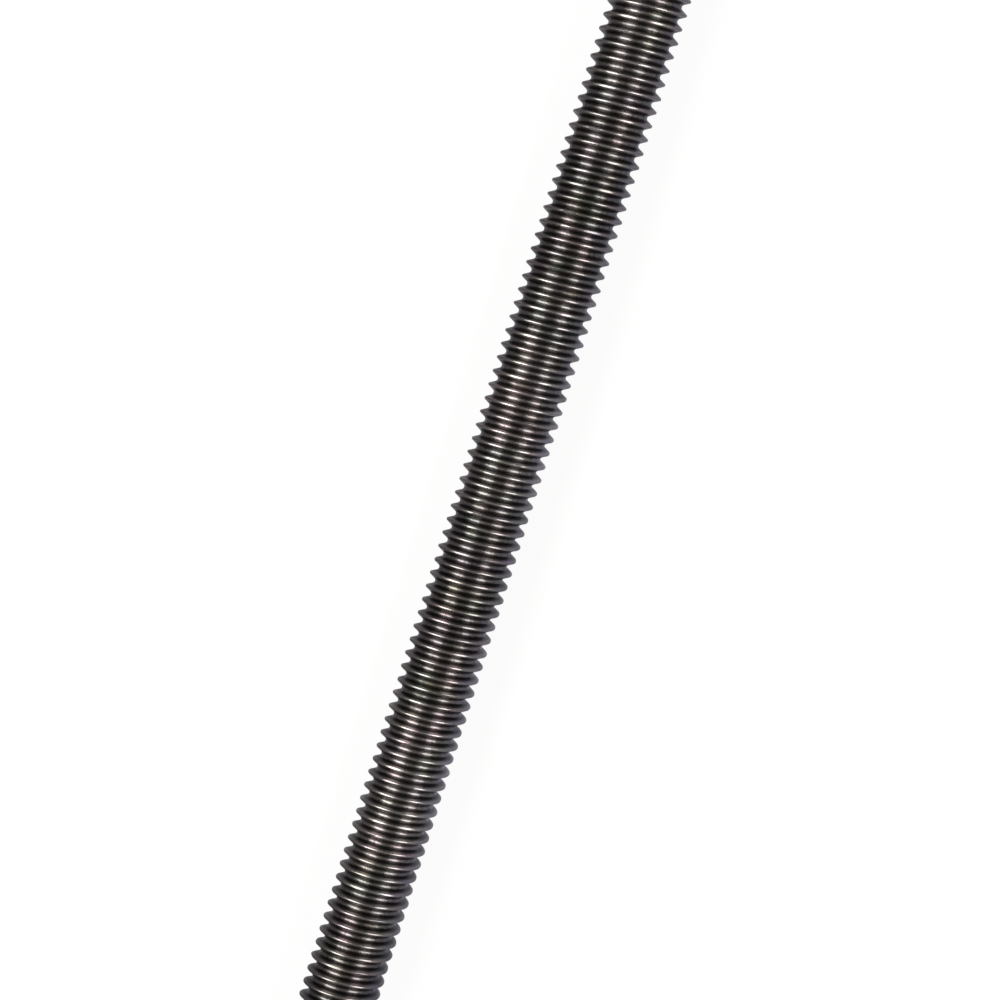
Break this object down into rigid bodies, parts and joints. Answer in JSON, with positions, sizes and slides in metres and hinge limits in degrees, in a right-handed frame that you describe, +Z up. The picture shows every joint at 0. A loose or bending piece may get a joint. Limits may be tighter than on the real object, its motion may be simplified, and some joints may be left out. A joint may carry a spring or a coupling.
{
  "type": "threaded rod",
  "caption": "Straight steel rod with a right-hand thread along its whole length and bevelled ends, for joining, clamping or hanging parts with nuts.",
  "frame": {"origin": "on the rod's axis, midway between its two end faces", "axes": "+X along the rod's axis towards the end named thread_a, +Z up as it lies on its side"},
  "size_m": [0.1524, 0.008, 0.008],
  "materials": {
    "steel": "plain rolled steel, dark and glossy, with a light film of oil"
  },
  "bodies": {
    "root": {"rod": "steel"}
  },
  "joints": []
}
